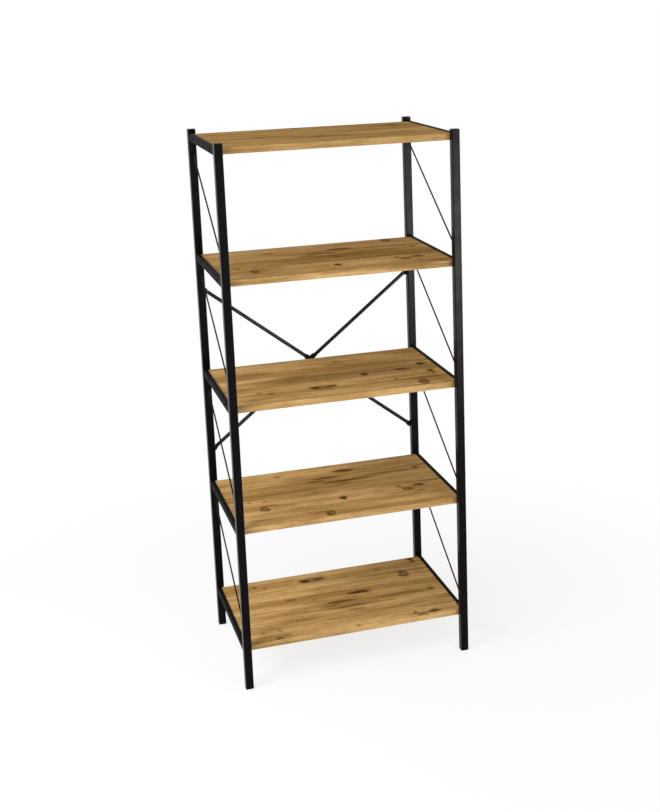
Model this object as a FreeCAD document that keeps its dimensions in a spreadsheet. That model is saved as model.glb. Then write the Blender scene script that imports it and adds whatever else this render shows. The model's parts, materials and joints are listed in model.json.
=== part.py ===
import FreeCAD, Part
import os
import Sketcher

# A free-standing shelving unit: two welded steel side frames, five boards screwed between their side
# rails, and two round rods that cross behind the middle shelf.
# The frame is +Z up and +Y to the rear, with the origin under the middle of the whole unit.

DIMENSIONS = (
    ("frame_width", 600.0),
    ("frame_depth", 400.0),
    ("frame_height", 1380.0),
    ("tube_side", 20.0),
    ("tube_wall", 1.2),
    ("tube_corner", 2.0),
    ("cap_plate", 2.0),
    ("foot_plate", 3.0),
    ("plug_depth", 14.0),
    ("plug_clearance", 0.15),
    ("top_rail_drop", 10.0),
    ("bottom_rail_height", 114.0),
    ("rail_height", 20.0),
    ("rail_width", 10.0),
    ("rail_wall", 1.2),
    ("rail_corner", 1.5),
    ("rail_inset", 2.0),
    ("board_thickness", 16.0),
    ("board_post_gap", 0.5),
    ("band_thickness", 1.0),
    ("rod_diameter", 4.0),
    ("rod_rail_gap", 30.0),
    ("brace_diameter", 10.0),
    ("brace_flat_width", 14.0),
    ("brace_flat_corner", 5.0),
    ("brace_end_drop", 85.0),
    ("brace_overhang", 9.0),
    ("brace_centre_flat", 24.0),
    ("brace_end_flat", 24.0),
    ("brace_screw_diameter", 5.0),
    ("brace_screw_length", 12.0),
    ("brace_head_diameter", 9.0),
    ("brace_head_height", 2.5),
    ("brace_socket_width", 3.0),
    ("brace_socket_depth", 1.5),
    ("brace_nut_width", 8.0),
    ("brace_nut_height", 4.0),
    ("brace_bolt_proud", 1.0),
    ("board_screw_diameter", 4.0),
    ("board_screw_length", 36.0),
    ("board_screw_tip", 4.0),
    ("board_head_diameter", 8.0),
    ("board_head_height", 1.8),
    ("board_screw_from_post", 60.0),
    ("screw_clearance", 0.2),
    ("cut_overrun", 1.0),
)
SHELF_COUNT = 5
SIDES = (("left", -1), ("right", 1))
ENDS = (("front", -1), ("rear", 1))

doc = FreeCAD.newDocument("shelving_unit")
sheet = doc.addObject("Spreadsheet::Sheet", "dims")
for row, (alias, millimetres) in enumerate(DIMENSIONS, start=1):
    cell = f"B{row}"
    sheet.set(f"A{row}", alias)
    sheet.set(cell, str(millimetres))
    sheet.setAlias(cell, alias)
doc.recompute()

SUB_PARTS = []
X_AXIS = FreeCAD.Vector(1, 0, 0)
Y_AXIS = FreeCAD.Vector(0, 1, 0)
Z_AXIS = FreeCAD.Vector(0, 0, 1)

# Places that several pieces share, as expressions of the sheet's sizes
REAR_BUILD_UP = "(dims.brace_diameter + dims.brace_head_height)"
FRONT_Y = f"(-(dims.frame_depth + {REAR_BUILD_UP}) / 2)"
REAR_Y = f"({FRONT_Y} + dims.frame_depth)"
MIDDLE_Y = f"({FRONT_Y} + dims.frame_depth / 2)"
POST_X = "((dims.frame_width - dims.tube_side) / 2)"
POST_Y_OFFSET = "((dims.frame_depth - dims.tube_side) / 2)"
CLEAR_DEPTH = "(dims.frame_depth - dims.tube_side * 2)"
RAIL_OUTER_X = "(dims.frame_width / 2 - dims.rail_inset)"
BOARD_LENGTH = f"(({RAIL_OUTER_X} - dims.rail_width) * 2)"
BOARD_DEPTH = f"({CLEAR_DEPTH} - dims.board_post_gap * 2)"
BOARD_SCREW_HOLE = "(dims.board_screw_diameter + dims.screw_clearance * 2)"
BOARD_SCREW_Y_OFFSET = f"({CLEAR_DEPTH} / 2 - dims.board_screw_from_post)"
RAIL_SPREAD = "(dims.frame_height - dims.top_rail_drop - dims.bottom_rail_height)"
SHELF_PITCH = f"({RAIL_SPREAD} / {SHELF_COUNT - 1})"
BRACE_RISE = f"({SHELF_PITCH} - dims.brace_end_drop)"
BRACE_HALF_LENGTH = f"sqrt({POST_X}^2 + {BRACE_RISE}^2)"
BRACE_SLOPE = f"atan({BRACE_RISE} / {POST_X})"
BRACE_HOLE = "(dims.brace_screw_diameter + dims.screw_clearance * 2)"


def value(expression):
    """The number that an expression of the sheet gives."""
    return float(sheet.evalExpression(expression))


def shelf_middle(shelf):
    """Height of the middle of a shelf's rails and board. Shelves are counted from the top."""
    return f"(dims.frame_height - dims.top_rail_drop - dims.rail_height / 2 - {SHELF_PITCH} * {shelf - 1})"


# The brace crosses behind the middle shelf
BRACE_MIDDLE_Z = shelf_middle((1 + SHELF_COUNT) / 2)


def place(item, x="0", y="0", z="0", turn_axis=Z_AXIS, turn="0"):
    """Put an object at a point given by expressions, turned about one axis."""
    item.Placement = FreeCAD.Placement(FreeCAD.Vector(), FreeCAD.Rotation(turn_axis, value(turn)))
    for axis_name, expression in (("x", x), ("y", y), ("z", z)):
        item.setExpression(f"Placement.Base.{axis_name}", expression)
    if turn != "0":
        item.setExpression("Placement.Rotation.Angle", turn)


def keep(item, label):
    """Name a finished sub-part."""
    item.Label = label
    SUB_PARTS.append(item)
    return item


def new_body(label):
    return keep(doc.addObject("PartDesign::Body", label), label)


def new_sketch(body, name, plane_role, offset="0"):
    """A sketch on one of its body's own origin planes, or at an offset from it."""
    planes = {feature.Role: feature for feature in body.Origin.OriginFeatures}
    sketch = body.newObject("Sketcher::SketchObject", name)
    sketch.AttachmentSupport = [(planes[plane_role], "")]
    sketch.MapMode = "FlatFace"
    if offset != "0":
        sketch.setExpression("AttachmentOffset.Base.z", offset)
    return sketch


def pin(sketch, geometry, point, along, expression):
    """Fix one coordinate of a sketch point to an expression, measured from the sketch origin."""
    offset = value(expression)
    origin_axis = -2 if along == "X" else -1
    if offset == 0:
        sketch.addConstraint(Sketcher.Constraint("PointOnObject", geometry, point, origin_axis))
        return
    ends = (-1, 1, geometry, point) if offset > 0 else (geometry, point, -1, 1)
    index = sketch.addConstraint(Sketcher.Constraint(f"Distance{along}", *ends, abs(offset)))
    sketch.setExpression(f"Constraints[{index}]", expression if offset > 0 else f"-({expression})")


def polygon(sketch, corners):
    """A closed outline whose corners are pairs of expressions."""
    points = [FreeCAD.Vector(value(x), value(y), 0) for x, y in corners]
    first = sketch.GeometryCount
    sides = [Part.LineSegment(points[i], points[(i + 1) % len(points)]) for i in range(len(points))]
    sketch.addGeometry(sides, False)
    for i, (x, y) in enumerate(corners):
        following = first + (i + 1) % len(corners)
        sketch.addConstraint(Sketcher.Constraint("Coincident", first + i, 2, following, 1))
        pin(sketch, first + i, 1, "X", x)
        pin(sketch, first + i, 1, "Y", y)


def rectangle(sketch, length, width):
    """A rectangle about the sketch origin."""
    signs = ((-1, -1), (1, -1), (1, 1), (-1, 1))
    polygon(sketch, [(f"{i} * ({length}) / 2", f"{j} * ({width}) / 2") for i, j in signs])


def circle(sketch, x, y, diameter):
    """A circle for a hole, centred at a pair of expressions."""
    centre = FreeCAD.Vector(value(x), value(y), 0)
    number = sketch.addGeometry(Part.Circle(centre, Z_AXIS, value(diameter) / 2), False)
    index = sketch.addConstraint(Sketcher.Constraint("Diameter", number, value(diameter)))
    sketch.setExpression(f"Constraints[{index}]", diameter)
    pin(sketch, number, 3, "X", x)
    pin(sketch, number, 3, "Y", y)


def pad(body, sketch, length, middle=False, reverse=False):
    feature = body.newObject("PartDesign::Pad", sketch.Name + "_pad")
    feature.Profile = sketch
    feature.setExpression("Length", length)
    feature.SideType = "Symmetric" if middle else "One side"
    feature.Reversed = reverse
    doc.recompute()
    return feature


def pocket(body, sketch, depth, middle=False, reverse=False):
    """A cut that has to take material away, or the build stops."""
    before = body.Shape.Volume
    feature = body.newObject("PartDesign::Pocket", sketch.Name + "_pocket")
    feature.Profile = sketch
    feature.setExpression("Length", depth)
    feature.SideType = "Symmetric" if middle else "One side"
    feature.Reversed = reverse
    doc.recompute()
    if not body.Shape.Volume < before:
        raise RuntimeError(f"{feature.Name} cuts nothing")
    return feature


def round_corners(body, base, radius, along, reach_x, reach_y):
    """Round the edges of a body that run along one axis at its outer corners."""
    doc.recompute()
    tolerance_share = 1e-6
    names = []
    for number, edge in enumerate(base.Shape.Edges, start=1):
        middle = edge.CenterOfMass
        first, last = edge.Vertexes[0].Point, edge.Vertexes[-1].Point
        run = last - first
        straight = run.Length > 0 and abs(abs(run.normalize().dot(along)) - 1) < tolerance_share
        spots = [abs(middle.dot(axis)) for axis in (X_AXIS, Y_AXIS, Z_AXIS) if axis != along]
        wanted = (value(reach_x), value(reach_y))
        at_corner = all(abs(spot - goal) <= tolerance_share * goal for spot, goal in zip(spots, wanted))
        if straight and at_corner:
            names.append(f"Edge{number}")
    feature = body.newObject("PartDesign::Fillet", base.Name + "_corners")
    feature.Base = (base, names)
    feature.setExpression("Radius", radius)
    doc.recompute()
    return feature


def post(label, side, end):
    """A square tube from the foot plug to the cap. The rear ones are drilled for the brace screws."""
    body = new_body(label)
    section = new_sketch(body, label + "_section", "XY_Plane")
    rectangle(section, "dims.tube_side", "dims.tube_side")
    rectangle(section, "dims.tube_side - dims.tube_wall * 2", "dims.tube_side - dims.tube_wall * 2")
    tube = pad(body, section, "dims.frame_height - dims.foot_plate - dims.cap_plate")
    round_corners(body, tube, "dims.tube_corner", Z_AXIS, "dims.tube_side / 2", "dims.tube_side / 2")
    if end > 0:
        holes = new_sketch(body, label + "_holes", "XZ_Plane")
        for way in (-1, 1):
            height = f"{BRACE_MIDDLE_Z} - dims.foot_plate + {way} * {BRACE_RISE}"
            circle(holes, "0", height, BRACE_HOLE)
        pocket(body, holes, "dims.tube_side / 2 + dims.cut_overrun")
    place(body, f"{side} * {POST_X}", f"{MIDDLE_Y} + {end} * {POST_Y_OFFSET}", "dims.foot_plate")


def plug(label, side, end, plate, height, flip):
    """A moulded insert: a plate as wide as the tube, and a stem that presses into its bore."""
    body = new_body(label)
    outline = new_sketch(body, label + "_plate", "XY_Plane")
    rectangle(outline, "dims.tube_side", "dims.tube_side")
    top = pad(body, outline, plate)
    round_corners(body, top, "dims.tube_corner", Z_AXIS, "dims.tube_side / 2", "dims.tube_side / 2")
    stem = new_sketch(body, label + "_stem", "XY_Plane")
    stem_side = "dims.tube_side - (dims.tube_wall + dims.plug_clearance) * 2"
    rectangle(stem, stem_side, stem_side)
    pad(body, stem, "dims.plug_depth", reverse=True)
    x = f"{side} * {POST_X}"
    y = f"{MIDDLE_Y} + {end} * {POST_Y_OFFSET}"
    place(body, x, y, height, X_AXIS, "180" if flip else "0")


def rail(label, side, shelf):
    """A rectangular tube between two posts, drilled across for the screws that hold the board."""
    body = new_body(label)
    section = new_sketch(body, label + "_section", "XZ_Plane")
    rectangle(section, "dims.rail_width", "dims.rail_height")
    rectangle(section, "dims.rail_width - dims.rail_wall * 2", "dims.rail_height - dims.rail_wall * 2")
    tube = pad(body, section, CLEAR_DEPTH, middle=True)
    round_corners(body, tube, "dims.rail_corner", Y_AXIS, "dims.rail_width / 2", "dims.rail_height / 2")
    holes = new_sketch(body, label + "_holes", "YZ_Plane")
    for way in (-1, 1):
        circle(holes, f"{way} * {BOARD_SCREW_Y_OFFSET}", "0", BOARD_SCREW_HOLE)
    pocket(body, holes, "dims.rail_width + dims.cut_overrun * 2", middle=True)
    place(body, f"{side} * ({RAIL_OUTER_X} - dims.rail_width / 2)", MIDDLE_Y, shelf_middle(shelf))


def rod(label, side, bay):
    """A round rod across one bay, cut flush where it meets the rear and the front post."""
    rise = f"({SHELF_PITCH} - dims.rail_height - dims.rod_rail_gap * 2)"
    length = f"sqrt({CLEAR_DEPTH}^2 + {rise}^2)"
    stock = f"({length} + (dims.rod_diameter + dims.cut_overrun) * 2)"
    middle_z = shelf_middle(bay + 0.5)
    x = f"{side} * {POST_X}"
    bar = doc.addObject("Part::Cylinder", label + "_stock")
    bar.setExpression("Radius", "dims.rod_diameter / 2")
    bar.setExpression("Height", stock)
    place(bar, x, f"{MIDDLE_Y} - {stock} / 2 * {CLEAR_DEPTH} / {length}",
          f"{middle_z} - {stock} / 2 * {rise} / {length}", X_AXIS, f"-atan({CLEAR_DEPTH} / {rise})")
    room = doc.addObject("Part::Box", label + "_room")
    room.setExpression("Length", "dims.tube_side")
    room.setExpression("Width", CLEAR_DEPTH)
    room.setExpression("Height", SHELF_PITCH)
    place(room, f"{x} - dims.tube_side / 2", f"{MIDDLE_Y} - {CLEAR_DEPTH} / 2",
          f"{middle_z} - {SHELF_PITCH} / 2")
    trimmed = doc.addObject("Part::Common", label)
    trimmed.Base = bar
    trimmed.Tool = room
    keep(trimmed, label)


def board(shelf):
    """A laminated board with blind bores in its ends, and an edge band on its front and rear edge."""
    label = f"shelf_{shelf}_board"
    body = new_body(label)
    outline = new_sketch(body, label + "_outline", "XY_Plane")
    rectangle(outline, BOARD_LENGTH, f"{BOARD_DEPTH} - dims.band_thickness * 2")
    pad(body, outline, "dims.board_thickness", middle=True)
    for name, side in SIDES:
        bores = new_sketch(body, f"{label}_{name}_bores", "YZ_Plane", f"{side} * {BOARD_LENGTH} / 2")
        for way in (-1, 1):
            circle(bores, f"{way} * {BOARD_SCREW_Y_OFFSET}", "0", BOARD_SCREW_HOLE)
        depth = "dims.board_screw_length - dims.rail_width + dims.screw_clearance"
        pocket(body, bores, depth, reverse=side < 0)
    place(body, "0", MIDDLE_Y, shelf_middle(shelf))
    for name, end in ENDS:
        band = doc.addObject("Part::Box", f"shelf_{shelf}_{name}_band")
        band.setExpression("Length", BOARD_LENGTH)
        band.setExpression("Width", "dims.band_thickness")
        band.setExpression("Height", "dims.board_thickness")
        middle = f"{MIDDLE_Y} + {end} * ({BOARD_DEPTH} - dims.band_thickness) / 2"
        place(band, f"-{BOARD_LENGTH} / 2", f"{middle} - dims.band_thickness / 2",
              f"{shelf_middle(shelf)} - dims.board_thickness / 2")
        keep(band, f"shelf_{shelf}_{name}_band")


def board_screws(shelf):
    """The four pan-head wood screws that go through a shelf's rails into the ends of its board."""
    z = shelf_middle(shelf)
    straight = "(dims.board_screw_length - dims.board_screw_tip)"
    screws = []
    for side in (-1, 1):
        outwards, inwards = f"{side * 90}", f"{side * -90}"
        for way in (-1, 1):
            name = f"board_screw_{shelf}_{len(screws) + 1}"
            y = f"{MIDDLE_Y} + {way} * {BOARD_SCREW_Y_OFFSET}"
            head = doc.addObject("Part::Cylinder", name + "_head")
            head.setExpression("Radius", "dims.board_head_diameter / 2")
            head.setExpression("Height", "dims.board_head_height")
            place(head, f"{side} * {RAIL_OUTER_X}", y, z, Y_AXIS, outwards)
            shank = doc.addObject("Part::Cylinder", name + "_shank")
            shank.setExpression("Radius", "dims.board_screw_diameter / 2")
            shank.setExpression("Height", straight)
            place(shank, f"{side} * {RAIL_OUTER_X}", y, z, Y_AXIS, inwards)
            tip = doc.addObject("Part::Cone", name + "_tip")
            tip.setExpression("Radius1", "dims.board_screw_diameter / 2")
            tip.Radius2 = 0
            tip.setExpression("Height", "dims.board_screw_tip")
            place(tip, f"{side} * ({RAIL_OUTER_X} - {straight})", y, z, Y_AXIS, inwards)
            screw = doc.addObject("Part::MultiFuse", name)
            screw.Shapes = [head, shank, tip]
            screws.append(screw)
    group = doc.addObject("Part::Compound", f"shelf_{shelf}_screws")
    group.Links = screws
    keep(group, f"shelf_{shelf}_screws")


def brace_rod(label, slope_sign, lap):
    """A round rod, pressed flat to half its thickness at its ends and on one side of the crossing."""
    body = new_body(label)
    half = f"({BRACE_HALF_LENGTH} + dims.brace_overhang)"
    flat = "dims.brace_diameter / 2"
    section = new_sketch(body, label + "_section", "YZ_Plane")
    circle(section, "0", "0", "dims.brace_diameter")
    pad(body, section, f"({half} - dims.brace_end_flat) * 2", middle=True)
    waist = new_sketch(body, label + "_waist", "XY_Plane")
    cut_y = f"{-lap} * ({flat} + dims.cut_overrun)"
    polygon(waist, (
        ("-dims.brace_centre_flat / 2", "0"),
        ("dims.brace_centre_flat / 2", "0"),
        ("dims.brace_centre_flat / 2", cut_y),
        ("-dims.brace_centre_flat / 2", cut_y),
    ))
    pocket(body, waist, "dims.brace_diameter + dims.cut_overrun * 2", middle=True)
    crossing = new_sketch(body, label + "_crossing", "XZ_Plane")
    rectangle(crossing, "dims.brace_centre_flat", "dims.brace_flat_width")
    pad(body, crossing, flat, reverse=lap > 0)
    ends = new_sketch(body, label + "_ends", "XZ_Plane")
    for way in (-1, 1):
        polygon(ends, [
            (f"{way} * {x}", f"{up} * dims.brace_flat_width / 2")
            for x, up in ((half, -1), (half, 1), (f"({half} - dims.brace_end_flat)", 1),
                          (f"({half} - dims.brace_end_flat)", -1))
        ])
    lugs = pad(body, ends, flat)
    round_corners(body, lugs, "dims.brace_flat_corner", Y_AXIS, half, "dims.brace_flat_width / 2")
    holes = new_sketch(body, label + "_holes", "XZ_Plane")
    for spot in (f"-{BRACE_HALF_LENGTH}", "0", BRACE_HALF_LENGTH):
        circle(holes, spot, "0", BRACE_HOLE)
    pocket(body, holes, "dims.brace_diameter + dims.cut_overrun * 2", middle=True)
    place(body, "0", f"{REAR_Y} + {flat}", BRACE_MIDDLE_Z, Y_AXIS, f"{slope_sign} * {BRACE_SLOPE}")


def socket_screw(name, x, seat_y, z, length):
    """A button-head screw that points forwards, with a hexagon socket in its head."""
    turn = "-90"
    head = doc.addObject("Part::Cylinder", name + "_head")
    head.setExpression("Radius", "dims.brace_head_diameter / 2")
    head.setExpression("Height", "dims.brace_head_height")
    place(head, x, seat_y, z, X_AXIS, turn)
    shank = doc.addObject("Part::Cylinder", name + "_shank")
    shank.setExpression("Radius", "dims.brace_screw_diameter / 2")
    shank.setExpression("Height", length)
    place(shank, x, f"{seat_y} - {length}", z, X_AXIS, turn)
    blank = doc.addObject("Part::Fuse", name + "_blank")
    blank.Base = head
    blank.Tool = shank
    socket = doc.addObject("Part::Prism", name + "_socket")
    socket.Polygon = 6
    socket.setExpression("Circumradius", "dims.brace_socket_width / sqrt(3)")
    socket.setExpression("Height", "dims.brace_socket_depth + dims.cut_overrun")
    place(socket, x, f"{seat_y} + dims.brace_head_height - dims.brace_socket_depth", z, X_AXIS, turn)
    screw = doc.addObject("Part::Cut", name)
    screw.Base = blank
    screw.Tool = socket
    return screw


def brace_fixings():
    """Four screws through the rod ends into the rear posts, and a bolt and nut at the crossing."""
    seat = f"({REAR_Y} + dims.brace_diameter / 2)"
    screws = []
    for side in (-1, 1):
        for way in (-1, 1):
            name = f"brace_screw_{len(screws) + 1}"
            z = f"{BRACE_MIDDLE_Z} + {way} * {BRACE_RISE}"
            screws.append(socket_screw(name, f"{side} * {POST_X}", seat, z, "dims.brace_screw_length"))
    group = doc.addObject("Part::Compound", "brace_end_screws")
    group.Links = screws
    keep(group, "brace_end_screws")
    crossing = f"({REAR_Y} + dims.brace_diameter)"
    bolt_length = "(dims.brace_diameter + dims.brace_nut_height + dims.brace_bolt_proud)"
    keep(socket_screw("brace_centre_bolt", "0", crossing, BRACE_MIDDLE_Z, bolt_length), "brace_centre_bolt")
    blank = doc.addObject("Part::Prism", "brace_nut_blank")
    blank.Polygon = 6
    blank.setExpression("Circumradius", "dims.brace_nut_width / sqrt(3)")
    blank.setExpression("Height", "dims.brace_nut_height")
    place(blank, "0", f"{REAR_Y} - dims.brace_nut_height", BRACE_MIDDLE_Z, X_AXIS, "-90")
    bore = doc.addObject("Part::Cylinder", "brace_nut_bore")
    bore.setExpression("Radius", f"{BRACE_HOLE} / 2")
    bore.setExpression("Height", "dims.brace_nut_height + dims.cut_overrun * 2")
    place(bore, "0", f"{REAR_Y} - dims.brace_nut_height - dims.cut_overrun", BRACE_MIDDLE_Z, X_AXIS, "-90")
    nut = doc.addObject("Part::Cut", "brace_centre_nut")
    nut.Base = blank
    nut.Tool = bore
    keep(nut, "brace_centre_nut")


# The two side frames: posts with their plugs, side rails and slanted rods
for side_name, side in SIDES:
    for end_name, end in ENDS:
        corner = f"{end_name}_{side_name}"
        post(f"post_{corner}", side, end)
        plug(f"cap_{corner}", side, end, "dims.cap_plate", "dims.frame_height - dims.cap_plate", False)
        plug(f"foot_{corner}", side, end, "dims.foot_plate", "dims.foot_plate", True)
    for shelf in range(1, SHELF_COUNT + 1):
        rail(f"rail_{side_name}_{shelf}", side, shelf)
    for bay in range(1, SHELF_COUNT):
        rod(f"rod_{side_name}_{bay}", side, bay)

# The boards that tie the side frames together, and their screws
for shelf in range(1, SHELF_COUNT + 1):
    board(shelf)
    board_screws(shelf)

# The crossed rods at the rear, which lap over each other at the middle
brace_rod("brace_rod_inner", 1, -1)
brace_rod("brace_rod_outer", -1, 1)
brace_fixings()

doc.recompute()
for item in doc.Objects:
    if "Invalid" in item.State or "Error" in item.State:
        raise RuntimeError(f"{item.Name} is {item.State}")
for item in SUB_PARTS:
    if item.Shape.isNull() or not item.Shape.isValid():
        raise RuntimeError(f"{item.Label} has no valid shape")

os.makedirs("parts", exist_ok=True)
for item in SUB_PARTS:
    item.Shape.exportStep(f"parts/{item.Label}.step")
print(len(SUB_PARTS), "sub-parts written")
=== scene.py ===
import json
import math

import bmesh
import bpy
from mathutils import Matrix, Vector

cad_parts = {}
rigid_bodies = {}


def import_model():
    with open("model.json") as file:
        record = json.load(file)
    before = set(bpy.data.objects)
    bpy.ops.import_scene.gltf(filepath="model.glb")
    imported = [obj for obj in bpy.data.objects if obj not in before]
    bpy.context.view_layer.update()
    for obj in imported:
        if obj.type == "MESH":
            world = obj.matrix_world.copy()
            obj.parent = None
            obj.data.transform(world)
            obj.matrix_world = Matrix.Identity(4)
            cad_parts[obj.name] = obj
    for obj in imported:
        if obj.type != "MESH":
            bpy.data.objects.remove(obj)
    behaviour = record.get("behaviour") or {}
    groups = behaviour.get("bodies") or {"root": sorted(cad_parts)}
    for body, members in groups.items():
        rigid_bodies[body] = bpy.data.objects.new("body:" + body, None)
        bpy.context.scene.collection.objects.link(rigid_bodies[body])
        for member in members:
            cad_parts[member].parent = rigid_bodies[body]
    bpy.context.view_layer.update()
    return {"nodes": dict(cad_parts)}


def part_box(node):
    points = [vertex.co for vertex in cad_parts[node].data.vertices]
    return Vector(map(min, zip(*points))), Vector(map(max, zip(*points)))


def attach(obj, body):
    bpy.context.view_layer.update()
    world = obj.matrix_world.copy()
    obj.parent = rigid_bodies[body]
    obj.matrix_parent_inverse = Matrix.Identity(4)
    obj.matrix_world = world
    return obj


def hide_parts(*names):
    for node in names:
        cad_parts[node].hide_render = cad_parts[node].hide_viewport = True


for leftover in list(bpy.data.objects):
    bpy.data.objects.remove(leftover)

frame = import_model()


# Posts: four lengths of square steel tube with rounded corners, the uprights of two welded side frames.
# Each frame is powder-coated black in one go after welding, so posts, rails and rods share one skin,
# a satin black with a faint orange-peel texture and soft clouding in its gloss.
CORNERS = ("front_left", "front_right", "rear_left", "rear_right")
COAT_BLACK = (0.0018, 0.0018, 0.0019, 1.0)
COAT_DUSTED = (0.0034, 0.0033, 0.0032, 1.0)
COAT_ROUGHNESS = 0.25
COAT_SPECULAR = 0.05
PEEL_SCALE = 650.0
PEEL_DEPTH = 0.00025
PEEL_STRENGTH = 0.35
CLOUD_SCALE = 24.0
CLOUD_GLOSS = 0.22


def add_node(tree, kind, inputs=None, **settings):
    """Adds one node with its settings, and sets each input to a value or links it to an output."""
    node = tree.nodes.new(kind)
    for name, value in settings.items():
        setattr(node, name, value)
    for key, value in (inputs or {}).items():
        if isinstance(value, bpy.types.NodeSocket):
            tree.links.new(value, node.inputs[key])
        else:
            node.inputs[key].default_value = value
    return node


def calc(tree, operation, *values):
    """One Math node, given numbers or outputs, and its result."""
    node = add_node(tree, "ShaderNodeMath", dict(enumerate(values)), operation=operation)
    return node.outputs[0]


def mix_colours(tree, share, first, second):
    """A blend from the first colour to the second by a share that changes over the surface."""
    node = add_node(tree, "ShaderNodeMix", {0: share, 6: first, 7: second}, data_type="RGBA")
    return node.outputs[2]


def start_group(name, kind, inputs, outputs):
    """Starts a node group with named sockets, and returns it with its input sockets and output node."""
    tree = bpy.data.node_groups.new(name, kind)
    for label, socket_type in inputs:
        tree.interface.new_socket(label, in_out="INPUT", socket_type=socket_type)
    for label, socket_type in outputs:
        tree.interface.new_socket(label, in_out="OUTPUT", socket_type=socket_type)
    return tree, tree.nodes.new("NodeGroupInput").outputs, tree.nodes.new("NodeGroupOutput")


def start_material(name):
    """A material with its shader and the Object coordinates that its patterns are laid on."""
    material = bpy.data.materials.new(name)
    material.use_nodes = True
    tree = material.node_tree
    place = add_node(tree, "ShaderNodeTexCoord").outputs["Object"]
    return material, tree, tree.nodes["Principled BSDF"], place


def add_bump(tree, shader, height, strength, depth):
    """Raises the surface by a height pattern of that depth in metres."""
    bump = add_node(tree, "ShaderNodeBump", {"Strength": strength, "Distance": depth, "Height": height})
    tree.links.new(bump.outputs["Normal"], shader.inputs["Normal"])


skin_group, given, made = start_group(
    "sprayed_skin", "ShaderNodeTree",
    (("Place", "NodeSocketVector"), ("Colour", "NodeSocketColor"), ("Dusted", "NodeSocketColor"),
     ("Roughness", "NodeSocketFloat"), ("Peel Scale", "NodeSocketFloat")),
    (("Colour", "NodeSocketColor"), ("Roughness", "NodeSocketFloat"), ("Height", "NodeSocketFloat")))
peel = add_node(skin_group, "ShaderNodeTexNoise",
                {"Vector": given["Place"], "Scale": given["Peel Scale"], "Detail": 2.0}).outputs["Fac"]
cloud = add_node(skin_group, "ShaderNodeTexNoise", {"Vector": given["Place"], "Scale": CLOUD_SCALE,
                                                    "Detail": 4.0, "Roughness": 0.6}).outputs["Fac"]
drift = calc(skin_group, "SUBTRACT", cloud, 0.5)
gloss = calc(skin_group, "MULTIPLY_ADD", drift, CLOUD_GLOSS, given["Roughness"])
skin_group.links.new(mix_colours(skin_group, cloud, given["Colour"], given["Dusted"]), made.inputs["Colour"])
skin_group.links.new(gloss, made.inputs["Roughness"])
skin_group.links.new(peel, made.inputs["Height"])


def sprayed_material(name, colour, dusted, roughness, specular, peel_scale, peel_depth):
    """A sprayed or moulded skin: clouded colour and gloss over a fine raised texture."""
    material, tree, shader, place = start_material(name)
    skin = add_node(tree, "ShaderNodeGroup", {"Place": place, "Colour": colour, "Dusted": dusted,
                                              "Roughness": roughness, "Peel Scale": peel_scale},
                    node_tree=skin_group)
    tree.links.new(skin.outputs["Colour"], shader.inputs["Base Color"])
    tree.links.new(skin.outputs["Roughness"], shader.inputs["Roughness"])
    shader.inputs["Specular IOR Level"].default_value = specular
    add_bump(tree, shader, skin.outputs["Height"], PEEL_STRENGTH, peel_depth)
    return material


def paint_node(node, material):
    """Gives a CAD node that stays in view its finished material."""
    for place in frame["nodes"][node].material_slots:
        place.material = material


black_coat = sprayed_material("black_powder_coat", COAT_BLACK, COAT_DUSTED, COAT_ROUGHNESS, COAT_SPECULAR,
                              PEEL_SCALE, PEEL_DEPTH)
for corner in CORNERS:
    paint_node(f"post_{corner}", black_coat)


# Caps and foot plugs: black plastic mouldings pressed into the open ends of the posts.
# Each is a short plug inside the tube under a plate as wide as the tube, with an eased rim;
# the cap is slightly domed, and the foot is flat where it stands on the floor.
TUBE_WALL = 0.0012
TUBE_CORNER = 0.002
PLUG_CLEARANCE = 0.00015
RIM_ROUND = 0.0008
# The rim's round, from the plate's face to its side: in from the side and down from the face, as shares
RIM_STEPS = ((1.6, 0.0), (0.55, 0.2), (0.12, 0.6), (0.0, 1.0))
CROWN_SHARE = 0.4
CAP_DOME = 0.0002
PLUG_LEAD = 0.001
CORNER_STEPS = 6
PLASTIC_BLACK = (0.006, 0.006, 0.0065, 1.0)
PLASTIC_DUSTED = (0.011, 0.011, 0.011, 1.0)
PLASTIC_ROUGHNESS = 0.5
PLASTIC_SPECULAR = 0.1
MOULD_GRAIN_SCALE = 1400.0
MOULD_GRAIN_DEPTH = 0.00015


def rounded_square(half, corner, z):
    """The points of a square of that half width, with its corners rounded, around the origin at a height."""
    points = []
    for quarter in range(4):
        turn = math.radians(90 * quarter)
        centre = Matrix.Rotation(turn, 3, "Z") @ Vector((half - corner, half - corner, z))
        for step in range(CORNER_STEPS + 1):
            angle = turn + math.radians(90) * step / CORNER_STEPS
            points.append(centre + corner * Vector((math.cos(angle), math.sin(angle), 0)))
    return points


def ring_mesh(name, rings):
    """A closed skin over rings of points: each ring is joined to the next, and both ends are capped."""
    shape = bmesh.new()
    rows = [[shape.verts.new(point) for point in ring] for ring in rings]
    for lower, upper in zip(rows, rows[1:]):
        for i in range(len(lower)):
            shape.faces.new((lower[i - 1], lower[i], upper[i], upper[i - 1]))
    shape.faces.new(rows[0])
    shape.faces.new(rows[-1])
    bmesh.ops.recalc_face_normals(shape, faces=shape.faces)
    mesh = bpy.data.meshes.new(name)
    shape.to_mesh(mesh)
    shape.free()
    return mesh


def add_piece(mesh, material, slot, *nodes, crease=32):
    """Puts a finished mesh on the frame in place of its CAD nodes, smooth but for its creases."""
    mesh.materials.clear()
    mesh.materials.append(material)
    mesh.shade_smooth()
    mesh.set_sharp_from_angle(angle=math.radians(crease))
    piece = bpy.data.objects.new(mesh.name, mesh)
    bpy.context.scene.collection.objects.link(piece)
    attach(piece, "root")
    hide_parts(*nodes)
    return piece


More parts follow.
